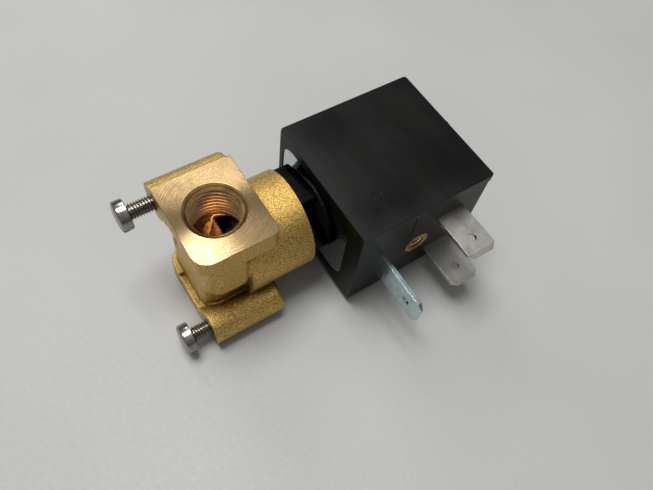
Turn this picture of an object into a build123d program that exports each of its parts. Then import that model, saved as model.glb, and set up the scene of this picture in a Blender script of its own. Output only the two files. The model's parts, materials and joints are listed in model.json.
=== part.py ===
"""Direct-acting, normally closed two-way solenoid valve, rebuilt piece by piece.

Frame, in millimetres: X runs along the valve axis from the brass body to the coil nut,
Z runs along the port axis and the connector blades point to -Y. The origin is the middle
of the lower port's mouth, on the machined face of the body.
"""
from build123d import *
import math
import os

# ---- Driving dimensions ---------------------------------------------------------------
PORT_SPAN = 26.0                  # machined face to machined face, across both ports
AXIS_Z = PORT_SPAN / 2            # height of the valve axis above the lower port face
RUNNING = 0.05                    # radial clearance of screws and of other loose fits
SNUG = 0.02                       # clearance of pieces held in a pocket
THROUGH = 1.0                     # how far a cut runs past the faces that it opens
OVERLAP = 0.1                     # how far two joined shapes of one piece run into each other

# Brass body
BLOCK_HALF = 7.4                  # half length of the port block, along X
BLOCK_FRONT = 8.8                 # from the axis to the block's plain side
PLATE_DEPTH = 4.4                 # thickness of the full-size plate under each port face
WAIST_BACK = 6.2                  # the block draws in to this distance behind the port axis
WAIST_SIDE = 6.6                  # and to this distance from the axis on the lug's side
NECK_RADIUS = 9.5
NECK_START = 1.7
NECK_END = 14.5
NECK_ROUND = 0.6
LUG_RADIUS = 3.6
LUG_END = 7.0                     # the lugs stop a little short of the block
LUG_ROUND = 0.9
LUG_Y = 8.7                       # lug centres, measured from the valve axis
LUG_Z = 9.2
CORNER_BIG = 3.0
CORNER_SMALL = 1.3
OVERHANG_END = 1.6                # below the plate the plain side stops short of the neck
SHOULDER_ROUND = 1.4              # under the overhang on the block's plain side
RELIEF_WIDTH = 7.0                # shallow relief in the end of each port plate
RELIEF_DEPTH = 1.0

# G 1/8 ports
G18_MAJOR = 9.728 / 2
G18_MINOR = 8.566 / 2
MOUTH_RADIUS = 5.44
MOUTH_DEPTH = 0.4                 # depth of the countersink at each port's mouth
INLET_THREAD = 7.4
INLET_DEPTH = 9.8
OUTLET_THREAD = 5.6
OUTLET_DEPTH = 6.4

# Valve chamber, seat and drillings
CHAMBER_RADIUS = 5.6
CHAMBER_END = 1.4
UNION_BORE = 7.05
UNION_BORE_START = 7.8
SEAT_LIP = 2.4
SEAT_OUTER = 2.2
ORIFICE_RADIUS = 1.25
ORIFICE_END = -2.8
OUTLET_DRILL_X = -1.4
OUTLET_DRILL_RADIUS = 1.4

# Mounting screws, M3 x 12
SCREW_RADIUS = 1.5
SCREW_LENGTH = 12.0
UPPER_EXPOSED = 4.5               # thread showing between the lug and the head
LOWER_EXPOSED = 3.4
SCREW_HOLE_DEPTH = 12.8
HEAD_RADIUS = 2.8
HEAD_HEIGHT = 2.2
HEAD_ROUND = 0.5
SCREW_POINT = 0.4                 # chamfer at the end of the thread
SLOT_WIDTH = 0.8
SLOT_DEPTH = 1.2
SLOT_ANGLE = 35.0

# Armature tube and what it carries
TUBE_OUTER = 5.0
TUBE_INNER = 4.6
TUBE_START = 9.2
TUBE_END = 46.4
FLANGE_RADIUS = 6.9
FLANGE_THICK = 1.2
CORE_START = 30.0
SHADING_OUTER = 3.8
SHADING_INNER = 3.0
SHADING_DEPTH = 0.9
PLUNGER_RADIUS = 4.52
PLUNGER_CHAMFER = 0.8
STROKE = 1.2
STOP_GAP = 0.1                    # left between plunger and core at the end of the stroke
PLUNGER_END = CORE_START - STROKE - STOP_GAP
SEAL_GAP = 0.05                   # shut-off face of the seal clear of the seat lip
NOSE_START = 3.4
SEAL_POCKET_RADIUS = 2.7
SEAL_POCKET_DEPTH = 1.6
GROOVE_FLOOR = 3.8                # flow grooves, from the valve axis
GROOVE_WIDTH = 1.2
SPRING_WIRE = 0.36
SPRING_RADIUS = 1.45
SPRING_POCKET_RADIUS = 1.95
SPRING_POCKET_DEPTH = 8.0
SPRING_TURNS = 8
SPRING_CLEAR = 0.05               # at each end of the spring

# Black hexagonal union
HEX_ACROSS_FLATS = 16.5
HEX_CORNER_ANGLE = 68.3           # one corner of the hexagon, from -Y towards +Z
UNION_END = 18.1
UNION_END_RADIUS = 8.6

# Coil
COIL_START = 18.8
COIL_LENGTH = 28.6
COIL_END = COIL_START + COIL_LENGTH
COIL_HALF_HEIGHT = 11.6
COIL_BACK = 10.7                  # plain side, from the valve axis
COIL_FRONT = 16.4                 # connector side, from the valve axis
COIL_EDGE = 0.8                   # radius along the long edges
RIM_THICK = 1.5                   # lid that overhangs the connector side
RIM_OVERHANG = 0.4
RIM_NOSE = 0.15                   # and the body side
RIM_EDGE = 0.6
REAR_WALL = 1.0                   # moulding behind the rear plate
SHELF_START = 30.6                # strip raised under the rim, over the insert and the upper blade
SHELF_STEP = 36.7
SHELF_END = 45.4
SHELF_LOW = 2.8                   # its lower edge over the insert, above the valve axis
SHELF_HIGH = 4.4                  # and over the blade
SHELF_PROUD = 0.12
SHELF_ROUND = 2.2
GATE_X = 25.7                     # round moulding mark on the lid
GATE_Y = -10.3
GATE_RADIUS = 1.0
GATE_LINE = 0.25
GATE_DEPTH = 0.06
COIL_BORE = TUBE_OUTER + 0.08
RECESS_DEPTH = 0.15
RECESS_BACK = 9.6
RECESS_FRONT = 12.4
RECESS_HALF_HEIGHT = 9.1
RECESS_CORNER = 3.6
YOKE_THICK = 2.0
YOKE_HALF_HEIGHT = 8.6
YOKE_FRONT = 8.4
YOKE_WEB = 1.5
BOBBIN_WALL = 0.7
BOBBIN_FLANGE = 0.9
BOBBIN_LIP = 0.3                  # flange proud of the winding
WINDING_RADIUS = 7.6

# Blade terminals and connector screw insert
BLADE_WIDTH = 6.3
BLADE_THICK = 0.8
BLADE_SPACING = 11.0
BLADE_X = 39.6
GROUND_X = 24.4
POWER_TIP = 26.6                  # blade tips, measured from the valve axis
GROUND_TIP = 29.0
BLADE_ROOT = 12.6
BLADE_HOLE_RADIUS = 0.85
BLADE_HOLE_INSET = 3.75
BLADE_CORNER = 1.1
BLADE_BEVEL = 0.25                # off each flat at the tip
BLADE_BEVEL_LENGTH = 0.9
CONNECTOR_DROP = 1.1              # connector centre below the valve axis
INSERT_X = 33.1
INSERT_FLANGE = 2.6
INSERT_FLANGE_THICK = 0.8
INSERT_PROUD = 0.2
INSERT_RADIUS = 2.2
INSERT_BORE = 1.55
INSERT_LENGTH = 3.6
INSERT_BLIND = 0.5                # left solid at the bottom of the bush

# Rear fastening
STUD_RADIUS = 4.0
STUD_CHAMFER = 0.5
STUD_PROUD = 0.8                  # past the nut
NUT_ACROSS_FLATS = 12.0
NUT_HEIGHT = 3.6
NUT_BEVEL = 0.9
NUT_BEVEL_LENGTH = 0.5
WASHER_THICK = 0.8
WASHER_RADIUS = 7.4
WASHER_PLAY = 0.3

# O-rings
BODY_RING = 0.69
BODY_RING_CENTRE = 6.2
COIL_RING = 0.415
COIL_RING_CENTRE = 6.0


# ---- Small helpers --------------------------------------------------------------------
def rod(radius, start, end, y=0.0, z=AXIS_Z):
    """Round bar along X from one station to another."""
    return Pos((start + end) / 2, y, z) * Rot(0, 90, 0) * Cylinder(radius, end - start)


def tube(outer, inner, start, end):
    """Round sleeve along the valve axis."""
    return rod(outer, start, end) - rod(inner, start - THROUGH, end + THROUGH)


def cone(radius_start, radius_end, start, end, y=0.0, z=AXIS_Z):
    """Round taper along X."""
    return Pos((start + end) / 2, y, z) * Rot(0, 90, 0) * Cone(radius_start, radius_end, end - start)


def post(radius, bottom, top, x=0.0, y=0.0):
    """Round bar along Z."""
    return Pos(x, y, (bottom + top) / 2) * Cylinder(radius, top - bottom)


def block(x0, x1, y0, y1, z0, z1):
    """Rectangular block between three pairs of stations; z counts from the valve axis."""
    place = Pos((x0 + x1) / 2, (y0 + y1) / 2, AXIS_Z + (z0 + z1) / 2)
    return place * Box(x1 - x0, y1 - y0, z1 - z0)


def hex_bar(across_flats, start, end, corner_angle=90.0):
    """Hexagonal bar along the valve axis; the angle places one corner, from -Y towards +Z."""
    section = RegularPolygon(across_flats / 2, 6, major_radius=False)
    bar = extrude(section, end - start)
    turned = Rot(270 - corner_angle, 0, 0) * Rot(0, 90, 0) * bar
    return Pos(start, 0, AXIS_Z) * turned


def o_ring(centre_radius, wire_radius, station):
    """O-ring on the valve axis."""
    return Pos(station, 0, AXIS_Z) * Rot(0, 90, 0) * Torus(centre_radius, wire_radius)


def half_turn(shape):
    """The same shape turned half a turn about the valve axis."""
    return Pos(0, 0, AXIS_Z) * Rot(180, 0, 0) * Pos(0, 0, -AXIS_Z) * shape


def edges_along(shape, axis):
    return shape.edges().filter_by(axis)


# ---- Brass body -----------------------------------------------------------------------
def port_half():
    """Upper half of the body: port plate, the overhang below it and the screw lug."""
    plate_bottom = AXIS_Z - PLATE_DEPTH
    plate = block(-BLOCK_HALF, BLOCK_HALF, -BLOCK_FRONT, BLOCK_FRONT, plate_bottom, AXIS_Z)
    plate = round_front_corners(plate)
    relief = block(-BLOCK_HALF - THROUGH, -WAIST_BACK, -RELIEF_WIDTH / 2, RELIEF_WIDTH / 2,
                   plate_bottom - THROUGH, plate_bottom + RELIEF_DEPTH)
    overhang = block(-WAIST_BACK, OVERHANG_END, -BLOCK_FRONT, 0, 0, plate_bottom)
    overhang = round_front_corners(overhang)
    overhang = fillet(edges_along(overhang, Axis.X).group_by(Axis.Z)[0].sort_by(Axis.Y)[0], SHOULDER_ROUND)
    lug = rod(LUG_RADIUS, -BLOCK_HALF, LUG_END, LUG_Y, AXIS_Z + LUG_Z)
    lug = fillet(lug.edges().group_by(Axis.X)[-1], LUG_ROUND)
    return (plate - relief) + overhang + lug


def round_front_corners(shape):
    """Round the two uprights on the plain side: the outer one more than the one by the neck."""
    outer, inner = edges_along(shape, Axis.Z).group_by(Axis.Y)[0].sort_by(Axis.X)
    shape = fillet(outer, CORNER_BIG)
    inner = edges_along(shape, Axis.Z).group_by(Axis.Y)[0].sort_by(Axis.X)[-1]
    return fillet(inner, CORNER_SMALL)


def waist():
    """Core between the two port plates."""
    half_height = AXIS_Z - PLATE_DEPTH
    core = block(-WAIST_BACK, BLOCK_HALF, -WAIST_SIDE, WAIST_SIDE, -half_height, half_height)
    return fillet(edges_along(core, Axis.Z).group_by(Axis.X)[0], CORNER_BIG)


def neck():
    barrel = rod(NECK_RADIUS, NECK_START, NECK_END)
    return fillet(barrel.edges().group_by(Axis.X)[0], NECK_ROUND)


def port_cavity(thread, depth):
    """Upper port: chamfered mouth, thread bore and the drilled bottom."""
    mouth = PORT_SPAN
    flare = Pos(0, 0, mouth - MOUTH_DEPTH / 2) * Cone(G18_MAJOR, MOUTH_RADIUS, MOUTH_DEPTH)
    thread_bore = post(G18_MAJOR, mouth - thread, mouth)
    drilled = post(G18_MINOR, mouth - depth, mouth - thread)
    return flare + thread_bore + drilled


def valve_body():
    forging = port_half() + half_turn(port_half()) + waist() + neck()
    between_faces = Pos(0, 0, AXIS_Z) * Box(4 * PORT_SPAN, 4 * PORT_SPAN, PORT_SPAN)
    forging = forging & between_faces
    chamber = rod(CHAMBER_RADIUS, CHAMBER_END, UNION_BORE_START + OVERLAP)
    nozzle = rod(SEAT_OUTER, CHAMBER_END - OVERLAP, SEAT_LIP)
    union_bore = rod(UNION_BORE, UNION_BORE_START, NECK_END + THROUGH)
    orifice = rod(ORIFICE_RADIUS, ORIFICE_END, SEAT_LIP + THROUGH)
    outlet_drill = post(OUTLET_DRILL_RADIUS, OUTLET_DEPTH - THROUGH, AXIS_Z, OUTLET_DRILL_X)
    body = forging - chamber + nozzle - union_bore - orifice - outlet_drill
    body -= port_cavity(INLET_THREAD, INLET_DEPTH)
    body -= half_turn(port_cavity(OUTLET_THREAD, OUTLET_DEPTH))
    for side in (1, -1):
        body -= rod(SCREW_RADIUS + RUNNING, -BLOCK_HALF - THROUGH, -BLOCK_HALF + SCREW_HOLE_DEPTH,
                    side * LUG_Y, AXIS_Z + side * LUG_Z)
    return body


# ---- Mounting screws ------------------------------------------------------------------
def mounting_screw(side, exposed):
    """Slotted cheese-head screw, partly driven into its lug."""
    y = side * LUG_Y
    z = AXIS_Z + side * LUG_Z
    seat = -BLOCK_HALF - exposed
    head = rod(HEAD_RADIUS, seat - HEAD_HEIGHT, seat, y, z)
    head = fillet(head.edges().group_by(Axis.X)[0], HEAD_ROUND)
    shank = rod(SCREW_RADIUS, seat, seat + SCREW_LENGTH, y, z)
    shank = chamfer(shank.edges().group_by(Axis.X)[-1], SCREW_POINT)
    slot = Box(2 * SLOT_DEPTH, SLOT_WIDTH, 3 * HEAD_RADIUS)
    slot = Pos(seat - HEAD_HEIGHT, y, z) * Rot(SLOT_ANGLE, 0, 0) * slot
    return head + shank - slot


# ---- Armature tube assembly -----------------------------------------------------------
def armature_tube():
    sleeve = rod(TUBE_OUTER, TUBE_START, TUBE_END)
    sleeve += rod(FLANGE_RADIUS, TUBE_START, TUBE_START + FLANGE_THICK)
    return sleeve - rod(TUBE_INNER, TUBE_START - THROUGH, TUBE_END + THROUGH)


def union_hex():
    """Black union: threaded shank in the neck, hexagon outside, turned down at the coil end."""
    bar = hex_bar(HEX_ACROSS_FLATS, NECK_END, UNION_END, HEX_CORNER_ANGLE)
    corner = HEX_ACROSS_FLATS / math.sqrt(3)
    rise = (corner - UNION_END_RADIUS) * math.tan(math.radians(30))
    turned = rod(corner, NECK_END, UNION_END - rise)
    turned += cone(corner, UNION_END_RADIUS, UNION_END - rise, UNION_END)
    shank = rod(UNION_BORE - RUNNING, TUBE_START + FLANGE_THICK, NECK_END)
    return (bar & turned) + shank - rod(TUBE_OUTER + RUNNING, TUBE_START, UNION_END + THROUGH)


def fixed_core():
    """Stationary pole: plug in the tube's far end, with the stud for the coil nut behind it."""
    plug = rod(TUBE_INNER, CORE_START, TUBE_END)
    stud_end = COIL_END + WASHER_THICK + NUT_HEIGHT + STUD_PROUD
    stud = rod(STUD_RADIUS, TUBE_END, stud_end)
    stud = chamfer(stud.edges().group_by(Axis.X)[-1], STUD_CHAMFER)
    groove = tube(SHADING_OUTER, SHADING_INNER, CORE_START - THROUGH, CORE_START + SHADING_DEPTH)
    return plug + stud - groove


def shading_ring():
    return tube(SHADING_OUTER - SNUG, SHADING_INNER + SNUG, CORE_START, CORE_START + SHADING_DEPTH - SNUG)


def plunger():
    """Moving iron with a spring pocket behind, a seal pocket in front and two flow grooves."""
    bar = rod(PLUNGER_RADIUS, NOSE_START, PLUNGER_END)
    bar = chamfer(bar.edges().group_by(Axis.X)[0], PLUNGER_CHAMFER)
    bar -= rod(SPRING_POCKET_RADIUS, PLUNGER_END - SPRING_POCKET_DEPTH, PLUNGER_END + THROUGH)
    bar -= rod(SEAL_POCKET_RADIUS, NOSE_START - THROUGH, NOSE_START + SEAL_POCKET_DEPTH)
    groove = block(NOSE_START - THROUGH, PLUNGER_END + THROUGH, -GROOVE_WIDTH / 2, GROOVE_WIDTH / 2,
                   GROOVE_FLOOR, PLUNGER_RADIUS + THROUGH)
    return bar - groove - half_turn(groove)


def plunger_seal():
    """Rubber disc that shuts on the seat lip."""
    return rod(SEAL_POCKET_RADIUS - SNUG, SEAT_LIP + SEAL_GAP, NOSE_START + SEAL_POCKET_DEPTH - SNUG)


def return_spring():
    """Compression spring between the pocket in the plunger and the fixed core."""
    end_gap = SPRING_WIRE / 2 + SPRING_CLEAR
    start = PLUNGER_END - SPRING_POCKET_DEPTH + end_gap
    height = CORE_START - end_gap - start
    path = Helix(pitch=height / SPRING_TURNS, height=height, radius=SPRING_RADIUS)
    wire = Plane(origin=path @ 0, z_dir=path % 0) * Circle(SPRING_WIRE / 2)
    coil = sweep(wire, path=path, is_frenet=True)
    return Pos(start, 0, AXIS_Z) * Rot(0, 90, 0) * coil


# ---- Coil -----------------------------------------------------------------------------
def recess_plug(start, end):
    """Rounded rectangle of the opening in the coil's body-side face."""
    plug = block(start, end, -RECESS_FRONT, RECESS_BACK, -RECESS_HALF_HEIGHT, RECESS_HALF_HEIGHT)
    return fillet(edges_along(plug, Axis.X), RECESS_CORNER)


def yoke_plate():
    """Zinc-plated front plate that shows in the recess."""
    start = COIL_START + RECESS_DEPTH
    plate = recess_plug(start, start + YOKE_THICK)
    return plate - rod(COIL_BORE, start - THROUGH, start + YOKE_THICK + THROUGH)


def yoke_frame():
    """L-shaped iron return path: web along the plain side, and the rear plate."""
    start = COIL_START + RECESS_DEPTH + YOKE_THICK
    rear = COIL_END - REAR_WALL
    web = block(start, rear, RECESS_BACK - YOKE_WEB, RECESS_BACK, -YOKE_HALF_HEIGHT, YOKE_HALF_HEIGHT)
    plate = block(rear - YOKE_THICK, rear, -YOKE_FRONT, RECESS_BACK, -YOKE_HALF_HEIGHT, YOKE_HALF_HEIGHT)
    return web + plate - rod(COIL_BORE, rear - YOKE_THICK - THROUGH, rear + THROUGH)


def bobbin_stations():
    start = COIL_START + RECESS_DEPTH + YOKE_THICK
    return start, COIL_END - REAR_WALL - YOKE_THICK


def coil_bobbin():
    start, end = bobbin_stations()
    flange = WINDING_RADIUS + BOBBIN_LIP
    spool = rod(COIL_BORE + BOBBIN_WALL, start, end)
    spool += rod(flange, start, start + BOBBIN_FLANGE)
    spool += rod(flange, end - BOBBIN_FLANGE, end)
    return spool - rod(COIL_BORE, start - THROUGH, end + THROUGH)


def coil_winding():
    start, end = bobbin_stations()
    return tube(WINDING_RADIUS, COIL_BORE + BOBBIN_WALL, start + BOBBIN_FLANGE, end - BOBBIN_FLANGE)


def blade(tip, x):
    """Flat blade along Y with cut tip corners, a bevelled tip and a detent hole."""
    outline = block(-BLADE_WIDTH / 2, BLADE_WIDTH / 2, -tip, -BLADE_ROOT, -BLADE_THICK / 2, BLADE_THICK / 2)
    outline = chamfer(edges_along(outline, Axis.Z).group_by(Axis.Y)[0], BLADE_CORNER)
    tip_face = outline.faces().sort_by(Axis.Y)[0]
    outline = chamfer(edges_along(tip_face, Axis.X), BLADE_BEVEL, BLADE_BEVEL_LENGTH, reference=tip_face)
    hole = Pos(0, BLADE_HOLE_INSET - tip, AXIS_Z) * Cylinder(BLADE_HOLE_RADIUS, BLADE_THICK + 2 * THROUGH)
    return Pos(x, 0, 0) * (outline - hole)


def power_terminal(side):
    return Pos(0, 0, side * BLADE_SPACING / 2 - CONNECTOR_DROP) * blade(POWER_TIP, BLADE_X)


def ground_terminal():
    upright = Pos(0, 0, AXIS_Z) * Rot(0, 90, 0) * Pos(0, 0, -AXIS_Z) * blade(GROUND_TIP, 0)
    return Pos(GROUND_X, 0, -CONNECTOR_DROP) * upright


def connector_insert():
    """Threaded brass bush for the connector's fixing screw."""
    bush = Pos(0, 0, -INSERT_LENGTH / 2) * Cylinder(INSERT_RADIUS, INSERT_LENGTH)
    bush += Pos(0, 0, INSERT_PROUD - INSERT_FLANGE_THICK / 2) * Cylinder(INSERT_FLANGE, INSERT_FLANGE_THICK)
    return insert_place() * bush - insert_bore()


def insert_place():
    """Middle of the bush's mouth on the connector side, with local Z pointing out of it."""
    return Pos(INSERT_X, -COIL_FRONT, AXIS_Z - CONNECTOR_DROP) * Rot(90, 0, 0)


def insert_bore():
    return insert_place() * Cylinder(INSERT_BORE, 2 * (INSERT_LENGTH - INSERT_BLIND))


def terminal_shelf():
    """Slightly raised strip on the connector side, between the rim and the insert and blade."""
    top = COIL_HALF_HEIGHT - RIM_THICK
    face = -COIL_FRONT
    over_insert = block(SHELF_START, SHELF_STEP, face - SHELF_PROUD, face, SHELF_LOW, top)
    over_blade = block(SHELF_STEP, SHELF_END, face - SHELF_PROUD, face, SHELF_HIGH, top)
    corner = edges_along(over_blade, Axis.Y).sort_by(Axis.Z)[:2].sort_by(Axis.X)[-1]
    return over_insert + fillet(corner, SHELF_ROUND)


def gate_mark():
    """Ring let into the lid."""
    lid = AXIS_Z + COIL_HALF_HEIGHT
    ring = post(GATE_RADIUS, lid - GATE_DEPTH, lid + THROUGH, GATE_X, GATE_Y)
    return ring - post(GATE_RADIUS - GATE_LINE, lid - THROUGH, lid + 2 * THROUGH, GATE_X, GATE_Y)


def coil_housing(inside):
    """Moulded case around the coil parts, open only at the recess and the tube's bore."""
    body = block(COIL_START, COIL_END, -COIL_FRONT, COIL_BACK, -COIL_HALF_HEIGHT, COIL_HALF_HEIGHT)
    body = fillet(edges_along(body, Axis.X), COIL_EDGE)
    rim = block(COIL_START - RIM_NOSE, COIL_END, -COIL_FRONT - RIM_OVERHANG, COIL_BACK,
                COIL_HALF_HEIGHT - RIM_THICK, COIL_HALF_HEIGHT)
    rim = fillet(edges_along(rim, Axis.Z), RIM_EDGE)
    case = body + rim + terminal_shelf() - gate_mark()
    case -= recess_plug(COIL_START - THROUGH, COIL_START + RECESS_DEPTH)
    case -= rod(COIL_BORE, COIL_START - THROUGH, COIL_END + THROUGH)
    case -= insert_bore()
    for piece in inside:
        case -= piece
    return case


# ---- Seals and rear fastening ---------------------------------------------------------
def body_o_ring():
    return o_ring(BODY_RING_CENTRE, BODY_RING, (UNION_BORE_START + TUBE_START) / 2)


def coil_o_ring():
    return o_ring(COIL_RING_CENTRE, COIL_RING, (UNION_END + COIL_START + RECESS_DEPTH) / 2)


def spring_washer():
    return tube(WASHER_RADIUS, STUD_RADIUS + WASHER_PLAY, COIL_END, COIL_END + WASHER_THICK)


def coil_nut():
    start = COIL_END + WASHER_THICK
    nut = hex_bar(NUT_ACROSS_FLATS, start, start + NUT_HEIGHT)
    corner = NUT_ACROSS_FLATS / math.sqrt(3)
    bevel_start = start + NUT_HEIGHT - NUT_BEVEL_LENGTH
    turned = rod(corner, start, bevel_start)
    turned += cone(corner, corner - NUT_BEVEL, bevel_start, start + NUT_HEIGHT)
    return (nut & turned) - rod(STUD_RADIUS + RUNNING, start - THROUGH, start + NUT_HEIGHT + THROUGH)


def main():
    inner = {
        "yoke_plate": yoke_plate(),
        "yoke_frame": yoke_frame(),
        "coil_bobbin": coil_bobbin(),
        "coil_winding": coil_winding(),
        "power_terminal_upper": power_terminal(1),
        "power_terminal_lower": power_terminal(-1),
        "ground_terminal": ground_terminal(),
        "connector_insert": connector_insert(),
    }
    nodes = {
        "valve_body": valve_body(),
        "mounting_screw_upper": mounting_screw(1, UPPER_EXPOSED),
        "mounting_screw_lower": mounting_screw(-1, LOWER_EXPOSED),
        "armature_tube": armature_tube(),
        "union_hex": union_hex(),
        "fixed_core": fixed_core(),
        "shading_ring": shading_ring(),
        "plunger": plunger(),
        "plunger_seal": plunger_seal(),
        "return_spring": return_spring(),
        "body_o_ring": body_o_ring(),
        "coil_o_ring": coil_o_ring(),
        "coil_housing": coil_housing(inner.values()),
        "spring_washer": spring_washer(),
        "coil_nut": coil_nut(),
        **inner,
    }
    os.makedirs("parts", exist_ok=True)
    for name, shape in nodes.items():
        export_step(shape, f"parts/{name}.step")


main()
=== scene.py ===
"""Looks of the brass solenoid valve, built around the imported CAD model."""
import json
import math

import bmesh
import bpy
from mathutils import Matrix, Vector


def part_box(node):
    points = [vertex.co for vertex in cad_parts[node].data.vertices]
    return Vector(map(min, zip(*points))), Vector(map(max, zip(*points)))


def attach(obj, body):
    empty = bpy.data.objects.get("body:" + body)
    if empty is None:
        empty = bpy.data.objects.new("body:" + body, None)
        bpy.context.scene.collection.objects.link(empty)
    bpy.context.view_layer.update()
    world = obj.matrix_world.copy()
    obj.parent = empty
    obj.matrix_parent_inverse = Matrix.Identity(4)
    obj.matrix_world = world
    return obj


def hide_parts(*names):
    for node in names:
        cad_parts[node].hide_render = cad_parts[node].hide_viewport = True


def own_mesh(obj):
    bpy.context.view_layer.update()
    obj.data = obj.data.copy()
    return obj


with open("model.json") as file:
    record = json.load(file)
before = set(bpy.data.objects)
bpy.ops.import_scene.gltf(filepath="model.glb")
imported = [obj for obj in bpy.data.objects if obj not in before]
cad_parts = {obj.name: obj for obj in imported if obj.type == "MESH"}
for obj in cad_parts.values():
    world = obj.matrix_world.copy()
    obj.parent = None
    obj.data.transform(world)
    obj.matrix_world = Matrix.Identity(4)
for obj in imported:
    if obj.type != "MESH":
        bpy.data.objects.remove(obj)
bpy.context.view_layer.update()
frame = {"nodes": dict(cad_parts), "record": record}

MM = 0.001
NODES = frame["nodes"]
MOUNTS = {mount["name"]: mount for mount in frame["record"]["mounts"]}
BODY_LOW, BODY_HIGH = (Vector(corner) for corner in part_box("valve_body"))
AXIS_Z = (BODY_LOW.z + BODY_HIGH.z) / 2


# ---- Materials ------------------------------------------------------------------------
class Look:
    """A procedural material in the making. Patterns are sized in mm, in the object's own frame."""

    def __init__(self, name, **sockets):
        self.material = bpy.data.materials.new(name)
        self.material.use_nodes = True
        self.tree = self.material.node_tree
        self.shader = self.tree.nodes["Principled BSDF"]
        for socket, value in sockets.items():
            self.shader.inputs[socket.replace("_", " ")].default_value = value
        self.place = self.node("ShaderNodeTexCoord").outputs["Object"]

    def node(self, kind, inputs=None, **settings):
        made = self.tree.nodes.new(kind)
        for key, value in settings.items():
            setattr(made, key, value)
        for key, value in (inputs or {}).items():
            self.feed(made.inputs[key], value)
        return made

    def feed(self, socket, value):
        if isinstance(value, bpy.types.NodeSocket):
            self.tree.links.new(value, socket)
        else:
            socket.default_value = value

    def math(self, operation, first, second=0.0):
        return self.node("ShaderNodeMath", {0: first, 1: second}, operation=operation).outputs[0]

    def stretched(self, stretch):
        """Object coordinates in mm, squeezed by a factor along each axis."""
        scale = [factor / MM for factor in stretch]
        return self.node("ShaderNodeMapping", {"Vector": self.place, "Scale": scale}).outputs[0]

    def noise(self, grain, stretch=(1, 1, 1), detail=3.0, rough=0.55):
        """Noise whose lumps are about that many mm across."""
        inputs = {"Vector": self.stretched(stretch), "Scale": 1 / grain, "Detail": detail, "Roughness": rough}
        return self.node("ShaderNodeTexNoise", inputs).outputs["Fac"]

    def spread(self, value, low, high, to_low=0.0, to_high=1.0):
        """Remaps a value from one range to another, and holds it there."""
        inputs = {0: value, 1: low, 2: high, 3: to_low, 4: to_high}
        return self.node("ShaderNodeMapRange", inputs).outputs[0]

    def blend(self, share, first, second):
        """Colour between two colours."""
        made = self.node("ShaderNodeMix", data_type="RGBA")
        self.feed(made.inputs["Factor"], share)
        for socket, colour in ((6, first), (7, second)):
            self.feed(made.inputs[socket], colour)
        return made.outputs[2]

    def bevel(self, radius):
        """Normal that rounds the hard edges of the mesh."""
        return self.node("ShaderNodeBevel", {"Radius": radius * MM}, samples=4).outputs[0]

    def bump(self, height, depth, normal=None):
        inputs = {"Height": height, "Distance": depth * MM, "Strength": 1.0}
        if normal:
            inputs["Normal"] = normal
        return self.node("ShaderNodeBump", inputs).outputs[0]

    def finish(self, **sockets):
        for socket, value in sockets.items():
            self.feed(self.shader.inputs[socket.replace("_", " ")], value)
        return self.material


def sand_cast_brass():
    """Forged brass, blasted: a fine glittering grain with darker pits, and painted shade darkening the
    corners and recesses.
    """
    look = Look("sand_cast_brass", Metallic=1.0)
    grain = look.noise(0.22, detail=4, rough=0.65)
    pits = look.spread(grain, 0.38, 0.60)
    patch = look.noise(4.0)
    tone = look.blend(pits, (0.22, 0.12, 0.020, 1), (0.96, 0.65, 0.20, 1))
    tone = look.blend(look.spread(patch, 0.4, 0.7, 0, 0.25), tone, (0.60, 0.39, 0.11, 1))
    # Painted shade: ambient occlusion darkens the brass colour in the corners and recesses.
    painted_shade_ao = look.node("ShaderNodeAmbientOcclusion", {"Distance": 4 * MM}, samples=4).outputs["AO"]
    tone = look.blend(look.spread(painted_shade_ao, 0.30, 0.75), (0.07, 0.04, 0.012, 1), tone)
    roughness = look.spread(grain, 0.35, 0.65, 0.46, 0.28)
    normal = look.bump(grain, 0.15)
    return look.finish(Base_Color=tone, Roughness=roughness, Normal=normal)


def machined_brass():
    """Faced and bored brass: rings from the tool round the port axis, and dull stains."""
    look = Look("machined_brass", Metallic=1.0, Anisotropic=0.85)
    flat = look.node("ShaderNodeVectorMath", {0: look.place, 1: (1, 1, 0)}, operation="MULTIPLY").outputs[0]
    radius = look.node("ShaderNodeVectorMath", {0: flat}, operation="LENGTH").outputs["Value"]
    ring = look.math("MULTIPLY", radius, 1 / MM)
    tool = look.node("ShaderNodeTexNoise", {"W": ring, "Scale": 5.0, "Detail": 3.0},
                     noise_dimensions="1D").outputs["Fac"]
    stain = look.noise(1.3, detail=5, rough=0.6)
    tone = look.blend(look.spread(stain, 0.40, 0.62), (0.32, 0.205, 0.085, 1), (0.44, 0.32, 0.16, 1))
    tone = look.blend(look.spread(tool, 0.3, 0.7, 0, 0.25), tone, (0.60, 0.47, 0.28, 1))
    roughness = look.spread(stain, 0.35, 0.65, 0.26, 0.17)
    tangent = look.node("ShaderNodeVectorMath", {0: flat}, operation="NORMALIZE").outputs[0]
    normal = look.bump(tool, 0.016, look.bevel(0.18))
    return look.finish(Base_Color=tone, Roughness=roughness, Tangent=tangent, Normal=normal)


def bored_brass():
    """Cut brass inside the ports, redder than the outside."""
    look = Look("bored_brass", Metallic=1.0)
    swirl = look.noise(1.2, (0.5, 0.5, 2.0), detail=2)
    tone = look.blend(look.spread(swirl, 0.35, 0.65), (0.42, 0.23, 0.09, 1), (0.58, 0.37, 0.17, 1))
    roughness = look.spread(swirl, 0.3, 0.7, 0.24, 0.32)
    return look.finish(Base_Color=tone, Roughness=roughness, Normal=look.bump(swirl, 0.002))


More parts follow.
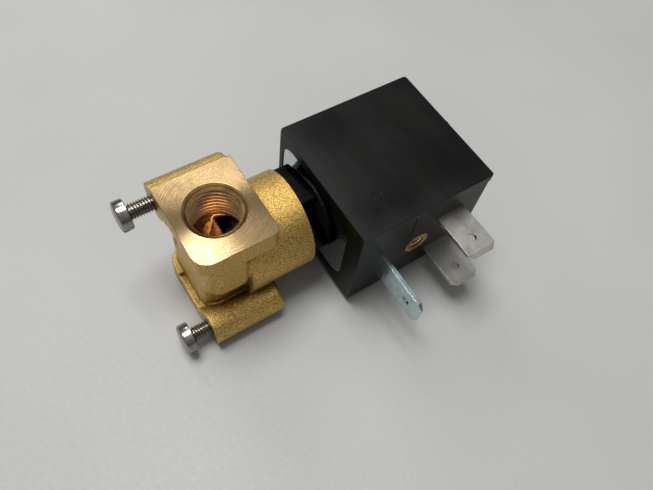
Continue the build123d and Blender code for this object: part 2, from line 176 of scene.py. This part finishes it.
def plain_metal(name, dark, light, roughness, grain=0.35, stretch=(1, 1, 1), edge=0.1, depth=0.01):
    """Metal with a worn two-tone surface and slightly broken edges."""
    look = Look(name, Metallic=1.0)
    mottle = look.noise(grain, stretch, detail=4)
    tone = look.blend(look.spread(mottle, 0.35, 0.65), (*dark, 1), (*light, 1))
    wear = look.noise(2.5)
    finish = look.math("ADD", look.spread(mottle, 0.3, 0.7, roughness, roughness * 0.7),
                       look.spread(wear, 0.4, 0.7, 0, 0.12))
    normal = look.bump(mottle, depth, look.bevel(edge))
    return look.finish(Base_Color=tone, Roughness=finish, Normal=normal)


def black_union():
    """Glossy black plating with a faint handling haze."""
    look = Look("black_union", Metallic=1.0)
    haze = look.noise(1.8, detail=4)
    tone = look.blend(look.spread(haze, 0.4, 0.65), (0.022, 0.020, 0.018, 1), (0.038, 0.034, 0.031, 1))
    roughness = look.spread(haze, 0.35, 0.7, 0.08, 0.14)
    normal = look.bump(look.noise(0.5, (3, 1, 1)), 0.003, look.bevel(0.15))
    return look.finish(Base_Color=tone, Roughness=roughness, Normal=normal)


def coil_plastic():
    """Satin black moulding, smooth in the middle of its faces and grainy towards two edges of the lid."""
    look = Look("coil_plastic", Specular_IOR_Level=0.22)
    low, high = (Vector(corner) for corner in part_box("coil_housing"))
    along = look.node("ShaderNodeSeparateXYZ", {0: look.place}).outputs
    near_body = look.spread(along["X"], low.x + 1 * MM, low.x + 5 * MM, 1, 0)
    near_blades = look.spread(along["Y"], low.y + 1 * MM, low.y + 4 * MM, 1, 0)
    band = look.math("MAXIMUM", near_body, near_blades)
    grain = look.noise(0.28, detail=3)
    flow = look.noise(9.0, (1.0, 0.5, 1.0), detail=2)
    speck = look.spread(grain, 0.60, 0.72)
    tone = look.blend(look.spread(flow, 0.35, 0.65), (0.0018, 0.0018, 0.0015, 1), (0.0042, 0.0042, 0.0036, 1))
    tone = look.blend(look.math("MULTIPLY", speck, look.math("MULTIPLY", band, 0.5)), tone,
                      (0.030, 0.032, 0.028, 1))
    roughness = look.math("ADD", look.spread(flow, 0.35, 0.65, 0.26, 0.36), look.math("MULTIPLY", band, 0.10))
    texture = look.math("MULTIPLY", grain, look.spread(band, 0, 1, 0.25, 1))
    normal = look.bump(texture, 0.02, look.bevel(0.16))
    return look.finish(Base_Color=tone, Roughness=roughness, Normal=normal)


def tinned_blade():
    """Tinned brass strip, rolled along its length and scuffed by the receptacles."""
    look = Look("tinned_blade", Metallic=1.0)
    rolled = look.noise(0.30, (0.12, 1.6, 1.0), detail=3)
    cloud = look.noise(2.6, detail=3)
    tone = look.blend(look.spread(cloud, 0.35, 0.65), (0.50, 0.48, 0.43, 1), (0.60, 0.58, 0.53, 1))
    tone = look.blend(look.spread(rolled, 0.5, 0.8, 0, 0.2), tone, (0.78, 0.76, 0.72, 1))
    roughness = look.spread(cloud, 0.3, 0.7, 0.30, 0.36)
    normal = look.bump(rolled, 0.0006, look.bevel(0.10))
    return look.finish(Base_Color=tone, Roughness=roughness, Normal=normal)


def rubber():
    look = Look("rubber", Roughness=0.55, Specular_IOR_Level=0.35)
    dust = look.noise(0.4, detail=5)
    tone = look.blend(look.spread(dust, 0.45, 0.75), (0.012, 0.012, 0.012, 1), (0.05, 0.048, 0.045, 1))
    return look.finish(Base_Color=tone, Normal=look.bump(dust, 0.01))


def copper_winding():
    """Enamelled wire laid turn beside turn, with painted shade in the valleys between the turns."""
    look = Look("copper_winding", Metallic=1.0, Coat_Weight=0.5)
    along = look.node("ShaderNodeSeparateXYZ", {0: look.place}).outputs["X"]
    wire = look.math("PINGPONG", look.math("MULTIPLY", along, 1 / MM), 0.12)
    # Painted shade: the colour follows the wire's relief, dark in the valleys between the turns.
    tone = look.blend(look.spread(wire, 0, 0.12), (0.20, 0.06, 0.025, 1), (0.75, 0.30, 0.13, 1))
    roughness = look.spread(look.noise(1.0), 0.3, 0.7, 0.25, 0.4)
    return look.finish(Base_Color=tone, Roughness=roughness, Normal=look.bump(wire, 0.3))


def bobbin_plastic():
    look = Look("bobbin_plastic", Roughness=0.5, Subsurface_Weight=0.05)
    fibre = look.noise(0.5, (0.3, 1.5, 1.5), detail=4)
    tone = look.blend(look.spread(fibre, 0.35, 0.7), (0.52, 0.46, 0.36, 1), (0.70, 0.65, 0.54, 1))
    return look.finish(Base_Color=tone, Normal=look.bump(fibre, 0.01))


def table_top():
    """Pale painted top with a fine pebbled finish."""
    look = Look("table_top", Specular_IOR_Level=0.3)
    pebble = look.noise(0.9, detail=3)
    cloud = look.noise(60.0, detail=2)
    tone = look.blend(look.spread(cloud, 0.3, 0.7), (0.390, 0.391, 0.376, 1), (0.425, 0.426, 0.412, 1))
    roughness = look.spread(pebble, 0.3, 0.7, 0.46, 0.58)
    return look.finish(Base_Color=tone, Roughness=roughness, Normal=look.bump(pebble, 0.05))


LOOKS = {
    "sand_cast": sand_cast_brass(),
    "machined": machined_brass(),
    "bored": bored_brass(),
    "turned": plain_metal("turned_brass", (0.55, 0.36, 0.14), (0.86, 0.63, 0.31), 0.26, 0.3, edge=0.08),
    "screw": plain_metal("screw_steel", (0.24, 0.225, 0.195), (0.37, 0.35, 0.31), 0.20, 0.6, depth=0.003),
    "stainless": plain_metal("stainless", (0.50, 0.50, 0.50), (0.66, 0.66, 0.67), 0.26, 0.3, (0.2, 1, 1)),
    "iron": plain_metal("soft_iron", (0.36, 0.36, 0.36), (0.56, 0.56, 0.56), 0.32, 0.3, (2, 0.5, 0.5)),
    "spring": plain_metal("spring_steel", (0.40, 0.39, 0.38), (0.62, 0.61, 0.60), 0.26, 0.3),
    "zinc": plain_metal("zinc_steel", (0.42, 0.52, 0.54), (0.58, 0.68, 0.69), 0.20, 0.9, depth=0.002),
    "mirror_zinc": plain_metal("bright_zinc", (0.52, 0.62, 0.62), (0.62, 0.71, 0.70), 0.09, 1.5, depth=0.001),
    "shade": plain_metal("shading_copper", (0.55, 0.26, 0.13), (0.82, 0.45, 0.26), 0.3, 0.4),
    "union": black_union(),
    "plastic": coil_plastic(),
    "blade": tinned_blade(),
    "rubber": rubber(),
    "winding": copper_winding(),
    "bobbin": bobbin_plastic(),
    "table": table_top(),
}
NODE_LOOKS = {
    "armature_tube": "stainless", "union_hex": "union", "fixed_core": "iron", "shading_ring": "shade",
    "plunger": "iron", "plunger_seal": "rubber", "body_o_ring": "rubber", "coil_o_ring": "rubber",
    "coil_housing": "plastic", "spring_washer": "spring", "coil_nut": "zinc", "yoke_plate": "mirror_zinc",
    "yoke_frame": "zinc", "coil_bobbin": "bobbin", "coil_winding": "winding",
    "power_terminal_upper": "blade", "power_terminal_lower": "blade", "ground_terminal": "zinc",
    "connector_insert": "turned",
}


def paint_nodes():
    for node, look in NODE_LOOKS.items():
        for slot in NODES[node].material_slots:
            slot.link = "OBJECT"
            slot.material = LOOKS[look]


# ---- Mesh helpers ---------------------------------------------------------------------
def new_object(name, bm, *looks):
    mesh = bpy.data.meshes.new(name)
    bm.to_mesh(mesh)
    bm.free()
    for look in looks:
        mesh.materials.append(LOOKS[look])
    made = bpy.data.objects.new(name, mesh)
    bpy.context.scene.collection.objects.link(made)
    return made


def applied(obj):
    """Gives the object the mesh that its modifiers make, and drops them."""
    bpy.context.view_layer.update()
    depsgraph = bpy.context.evaluated_depsgraph_get()
    mesh = bpy.data.meshes.new_from_object(obj.evaluated_get(depsgraph))
    obj.modifiers.clear()
    obj.data = mesh
    return obj


def combine(obj, other, operation):
    """Boolean of two closed meshes; the second object is used up."""
    cut = obj.modifiers.new("cut", "BOOLEAN")
    cut.operation = operation
    cut.solver = "MANIFOLD"
    cut.object = other
    applied(obj)
    bpy.data.objects.remove(other)
    return obj


def smooth_shaded(obj):
    """Smooth shading with the edges of 30 degrees and more left sharp."""
    obj.data.shade_smooth()
    obj.data.set_sharp_from_angle(angle=math.radians(30))
    return obj


def add_rod(bm, radius, start, end):
    """Closed round bar between two points."""
    sides = 96
    axis = Vector(end) - Vector(start)
    turn = axis.to_track_quat("Z", "Y").to_matrix().to_4x4()
    place = Matrix.Translation((Vector(start) + Vector(end)) / 2) @ turn
    bmesh.ops.create_cone(bm, cap_ends=True, segments=sides, radius1=radius, radius2=radius,
                          depth=axis.length, matrix=place)


def add_box(bm, low, high):
    made = bmesh.ops.create_cube(bm, size=1.0)
    for vert in made["verts"]:
        vert.co = [a + (b - a) * (c + 0.5) for a, b, c in zip(low, high, vert.co)]


def add_skin(bm, columns, place, closed):
    """Joins columns of (station, radius), one for each side round an axis, into one skin.

    The axis is local Z. A closed section runs back to its first row; an open one is capped."""
    sides = len(columns) - 1
    rows = []
    for side, column in enumerate(columns):
        angle = 2 * math.pi * side / sides
        rows.append([bm.verts.new(place @ Vector((r * math.cos(angle), r * math.sin(angle), station)))
                     for station, r in column])
    count = len(columns[0])
    steps = range(count if closed else count - 1)
    for one, two in zip(rows, rows[1:]):
        for step in steps:
            after = (step + 1) % count
            bm.faces.new((one[step], two[step], two[after], one[after]))
    if not closed:
        bm.faces.new([row[0] for row in rows[:-1]][::-1])
        bm.faces.new([row[-1] for row in rows[:-1]])
    bmesh.ops.remove_doubles(bm, verts=bm.verts, dist=1e-6)
    bmesh.ops.dissolve_degenerate(bm, edges=bm.edges, dist=1e-7)
    bmesh.ops.recalc_face_normals(bm, faces=bm.faces)


def helix_columns(start, end, pitch, profile, limit, sides=72):
    """Columns of (station, radius) of a thread; limit(station, radius) shapes its two ends."""
    turns = math.ceil((end - start) / pitch) + 1
    columns = []
    for side in range(sides + 1):
        column = []
        for turn in range(-1, turns):
            for part, radius in profile:
                station = start + (turn + part + side / sides) * pitch
                station = min(max(station, start), end)
                column.append((station, limit(station, radius)))
        columns.append(column)
    return columns


def lathe_columns(profile):
    """Columns of a turned shape."""
    sides = 72
    return [profile] * (sides + 1)


def thread_form(minor, major, crest):
    """One pitch of a thread as (share of the pitch, radius), with a crest that wide."""
    flank = 0.12
    half = crest / 2
    return (0.0, minor), (flank, minor), (0.5 - half, major), (0.5 + half, major), (1 - flank, minor)


def aim(origin, axis):
    """Matrix that takes local Z to the axis at the origin."""
    return Matrix.Translation(origin) @ Vector(axis).to_track_quat("Z", "Y").to_matrix().to_4x4()


# ---- Brass body -----------------------------------------------------------------------
MACHINING = 0.8 * MM              # spare height on the faces that are cut after casting
CUT = 0.01 * MM                   # depth of the finishing cut
GRAIN = 0.2 * MM                  # size of the facets that round the casting's edges
LUG_Y = 8.7 * MM
LUG_Z = 9.2 * MM
BORES = (                         # radius, from, to; each covers one drilled or turned region
    (6.0 * MM, (0, 0, BODY_LOW.z - 2 * MM), (0, 0, BODY_HIGH.z + 2 * MM)),
    (6.2 * MM, (0.5 * MM, 0, AXIS_Z), (3 * MM, 0, AXIS_Z)),
    (7.6 * MM, (1.9 * MM, 0, AXIS_Z), (BODY_HIGH.x + 2 * MM, 0, AXIS_Z)),
    (1.9 * MM, (BODY_LOW.x - 2 * MM, LUG_Y, AXIS_Z + LUG_Z), (6 * MM, LUG_Y, AXIS_Z + LUG_Z)),
    (1.9 * MM, (BODY_LOW.x - 2 * MM, -LUG_Y, AXIS_Z - LUG_Z), (6 * MM, -LUG_Y, AXIS_Z - LUG_Z)),
)


def welded_copy(node):
    bm = bmesh.new()
    bm.from_mesh(NODES[node].data)
    bmesh.ops.remove_doubles(bm, verts=bm.verts, dist=1e-7)
    return bm


def rough_forging():
    """The body before drilling, with soft radii and spare height on the faces to be machined."""
    bm = welded_copy("valve_body")
    near = 0.05 * MM
    for vert in bm.verts:
        if vert.co.z > BODY_HIGH.z - near:
            vert.co.z += MACHINING
        elif vert.co.z < BODY_LOW.z + near:
            vert.co.z -= MACHINING
        if vert.co.x > BODY_HIGH.x - near:
            vert.co.x += MACHINING
    for radius, start, end in BORES:
        add_rod(bm, radius, start, end)
    forging = new_object("valve_body_forging", bm)
    remesh = forging.modifiers.new("remesh", "REMESH")
    remesh.mode = "VOXEL"
    remesh.voxel_size = GRAIN
    soften = forging.modifiers.new("soften", "SMOOTH")
    soften.factor = 0.5
    soften.iterations = 4
    return applied(forging)


def drilled_space():
    """Everything that is drilled, bored or countersunk out of the forging."""
    bm = bmesh.new()
    add_rod(bm, *BORES[0])
    space = new_object("space", bm)
    for bore in BORES[1:]:
        bm = bmesh.new()
        add_rod(bm, *bore)
        combine(space, new_object("bore", bm), "UNION")
    return combine(space, new_object("body", welded_copy("valve_body")), "DIFFERENCE")


def inside_bore(point):
    """Whether one of the bores holds the point."""
    for radius, start, end in BORES:
        run = Vector(end) - Vector(start)
        axis = run.normalized()
        offset = point - Vector(start)
        reach = offset.dot(axis)
        if 0 < reach < run.length and (offset - reach * axis).length < radius:
            return True
    return False


def valve_body():
    forging = rough_forging()
    combine(forging, drilled_space(), "DIFFERENCE")
    bm = bmesh.new()
    wide = 30 * MM
    low = (BODY_LOW.x + CUT, -wide, BODY_LOW.z + CUT)
    high = (BODY_HIGH.x - CUT, wide, BODY_HIGH.z - CUT)
    add_box(bm, low, high)
    combine(forging, new_object("finishing_cut", bm), "INTERSECT")
    mesh = forging.data
    mesh.materials.clear()
    for look in ("sand_cast", "machined", "bored"):
        mesh.materials.append(LOOKS[look])
    cast, machined, bored = range(3)
    straight = 0.999
    for face in mesh.polygons:
        at_port = not BODY_LOW.z + 2 * CUT < face.center.z < BODY_HIGH.z - 2 * CUT
        faced = abs(face.normal.z) > straight and at_port
        turned = face.normal.x > straight and face.center.x > BODY_HIGH.x - 2 * CUT
        if faced or turned:
            face.material_index = machined
        elif inside_bore(face.center):
            face.material_index = bored
        else:
            face.material_index = cast
    smooth_shaded(forging)
    for face in mesh.polygons:
        face.use_smooth = face.material_index != machined
    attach(forging, "body")
    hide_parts("valve_body")


# ---- Threads --------------------------------------------------------------------------
G18_MINOR = 4.283 * MM
G18_PITCH = 0.907 * MM
G18_FLARE = 1.44                  # steepness of the countersink at a port's mouth
M3_MAJOR = 1.5 * MM
M3_MINOR = 1.2 * MM
M3_PITCH = 0.5 * MM
INSERT_MINOR = 1.25 * MM


def internal_thread(name, mount, minor, pitch, body, look, start, flare=1.0):
    """Sleeve with a helical thread inside, lining the bore of a threaded mount."""
    data = MOUNTS[mount]
    major = data["dims"]["r_mm"] * MM
    outer = major + 0.04 * MM
    length = data["dims"]["length_mm"] * MM
    profile = thread_form(minor, major, 0.12)

    def limit(station, radius):
        mouth = major - (station - start) * flare
        run_out = minor + (length - station)
        return min(max(radius, mouth), max(run_out, minor))

    columns = helix_columns(start, length, pitch, profile, limit)
    for column in columns:
        column += [(length, outer), (start, outer)]
    bm = bmesh.new()
    inward = -Vector(data["axis"])
    add_skin(bm, columns, aim(Vector(data["pos_m"]), inward), closed=True)
    thread = smooth_shaded(new_object(name, bm, look))
    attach(thread, body)


# ---- Mounting screws ------------------------------------------------------------------
HEAD_HEIGHT = 2.2 * MM
HEAD_RADIUS = 2.8 * MM
HEAD_DOME = 0.55 * MM             # height of the crown on top of the head
HEAD_CHAMFER = 0.12 * MM          # round the head's underside
SLOT = Vector((8, 0.8, 2.4)) * MM  # across the head, its width, and twice its depth
SLOT_ANGLE = 20


def screw_head(name, place):
    """Domed round head with a slot across it."""
    steps = 10
    profile = []
    for step in range(steps + 1):
        angle = math.pi / 2 * step / steps
        profile.append((HEAD_DOME * (1 - math.cos(angle)), HEAD_RADIUS * math.sin(angle)))
    profile += [(HEAD_HEIGHT - HEAD_CHAMFER, HEAD_RADIUS), (HEAD_HEIGHT, HEAD_RADIUS - HEAD_CHAMFER),
                (HEAD_HEIGHT, 0.0)]
    bm = bmesh.new()
    add_skin(bm, lathe_columns(profile), place, closed=True)
    head = new_object(name, bm, "screw")
    bm = bmesh.new()
    add_box(bm, -SLOT / 2, SLOT / 2)
    bm.transform(place @ Matrix.Rotation(math.radians(SLOT_ANGLE), 4, "Z"))
    return combine(head, new_object("slot", bm), "DIFFERENCE")


def mounting_screw(end):
    """Slotted cheese-head screw with a cut thread."""
    node = f"mounting_screw_{end}"
    low, high = (Vector(corner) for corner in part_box(node))
    centre = (low + high) / 2
    place = aim((low.x, centre.y, centre.z), (1, 0, 0))
    screw = screw_head(f"{node}_threaded", place)
    length = high.x - low.x

    def limit(station, radius):
        return max(min(radius, M3_MINOR + min(station - HEAD_HEIGHT, length - station)), M3_MINOR * 0.9)

    inside_head = HEAD_HEIGHT - 0.2 * MM
    profile = thread_form(M3_MINOR, M3_MAJOR, 0.08)
    columns = helix_columns(inside_head, length, M3_PITCH, profile, limit, sides=40)
    bm = bmesh.new()
    add_skin(bm, columns, place, closed=False)
    combine(screw, new_object("shank", bm), "UNION")
    screw.data.materials.clear()
    screw.data.materials.append(LOOKS["screw"])
    smooth_shaded(screw)
    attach(screw, f"screw_{end}")
    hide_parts(node)


# ---- Return spring --------------------------------------------------------------------
def return_spring():
    """Coiled wire with two closed end turns."""
    low, high = (Vector(corner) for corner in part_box("return_spring"))
    wire = 0.18 * MM
    radius = (high.y - low.y) / 2 - wire
    start, end = low.x + wire, high.x - wire
    turns, steps, sides = 8, 28, 8
    total = turns * steps
    bm = bmesh.new()
    rings = []
    for step in range(total + 1):
        share = step / total
        eased = min(max((share * turns - 0.8) / (turns - 1.6), 0), 1)
        angle = 2 * math.pi * step / steps
        out = Vector((0, math.cos(angle), math.sin(angle)))
        centre = Vector((start + (end - start) * eased, 0, AXIS_Z)) + radius * out
        rings.append([bm.verts.new(centre + wire * (math.cos(a) * out + math.sin(a) * Vector((1, 0, 0))))
                      for a in (2 * math.pi * side / sides for side in range(sides))])
    for one, two in zip(rings, rings[1:]):
        for side in range(sides):
            after = (side + 1) % sides
            bm.faces.new((one[side], two[side], two[after], one[after]))
    bm.faces.new(rings[0][::-1])
    bm.faces.new(rings[-1])
    bmesh.ops.recalc_face_normals(bm, faces=bm.faces)
    spring = smooth_shaded(new_object("return_spring_wire", bm, "spring"))
    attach(spring, "body")
    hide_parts("return_spring")
    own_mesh(spring)


# ---- Floor, lights and camera ---------------------------------------------------------
def table():
    bm = bmesh.new()
    bmesh.ops.create_grid(bm, x_segments=1, y_segments=1, size=2.0)
    top = new_object("table", bm, "table")


def area_light(name, direction, size, power):
    """Square soft light, aimed at the object."""
    distance = 0.9
    data = bpy.data.lights.new(name, "AREA")
    data.energy = power
    data.size = size
    light = bpy.data.objects.new(name, data)
    toward = Vector(direction).normalized()
    light.location = toward * distance
    light.rotation_euler = toward.to_track_quat("Z", "Y").to_euler()
    bpy.context.scene.collection.objects.link(light)


SKY = ((0.0, 0.09), (0.45, 0.23), (1.0, 0.40))       # brightness of the room by height


def daylight():
    world = bpy.data.worlds.new("room")
    world.use_nodes = True
    nodes, links = world.node_tree.nodes, world.node_tree.links
    direction = nodes.new("ShaderNodeTexCoord").outputs["Generated"]
    height = nodes.new("ShaderNodeSeparateXYZ")
    links.new(direction, height.inputs[0])
    ramp = nodes.new("ShaderNodeValToRGB")
    links.new(height.outputs["Z"], ramp.inputs[0])
    stops = ramp.color_ramp.elements
    for stop, (place, level) in zip((stops[0], stops.new(0.5), stops[-1]), SKY):
        stop.position = place
        stop.color = (level, level, level * 1.01, 1)
    links.new(ramp.outputs["Color"], nodes["Background"].inputs["Color"])
    bpy.context.scene.world = world
    bpy.context.scene.view_settings.view_transform = "Standard"
    area_light("ceiling", (-0.05, 0.20, 1.0), 0.40, 7.2)
    area_light("window", (0.09, 0.75, 0.68), 0.3, 1.4)


CAMERA_AT = (-0.02062, -0.05049, 0.10887)
CAMERA_AZIMUTH = math.radians(-42.44)
CAMERA_ELEVATION = math.radians(59.57)
CAMERA_ROLL = math.radians(11.005)
SENSOR_WIDTH = 36                 # both in mm
FOCAL_LENGTH = 33.074


def camera():
    flat = math.cos(CAMERA_ELEVATION)
    aside, ahead = math.sin(CAMERA_AZIMUTH), math.cos(CAMERA_AZIMUTH)
    back = Vector((aside * flat, -ahead * flat, math.sin(CAMERA_ELEVATION)))
    level = Vector((ahead, aside, 0))
    turn = Matrix.Rotation(CAMERA_ROLL, 3, back)
    right = turn @ level
    up = turn @ back.cross(level)
    data = bpy.data.cameras.new("camera")
    data.sensor_width = SENSOR_WIDTH
    data.lens = FOCAL_LENGTH
    data.clip_start = 5 * MM
    made = bpy.data.objects.new("camera", data)
    made.matrix_world = Matrix.Translation(CAMERA_AT) @ Matrix((right, up, back)).transposed().to_4x4()
    bpy.context.scene.collection.objects.link(made)
    bpy.context.scene.camera = made


camera()
table()
daylight()
paint_nodes()
valve_body()
for port in ("upper_port", "lower_port"):
    internal_thread(f"{port}_thread", port, G18_MINOR, G18_PITCH, "body", "bored",
                    start=-0.05 * MM, flare=G18_FLARE)
internal_thread("connector_insert_thread", "connector_screw", INSERT_MINOR, M3_PITCH, "coil", "turned",
                start=0.1 * MM)
for end in ("upper", "lower"):
    mounting_screw(end)
return_spring()
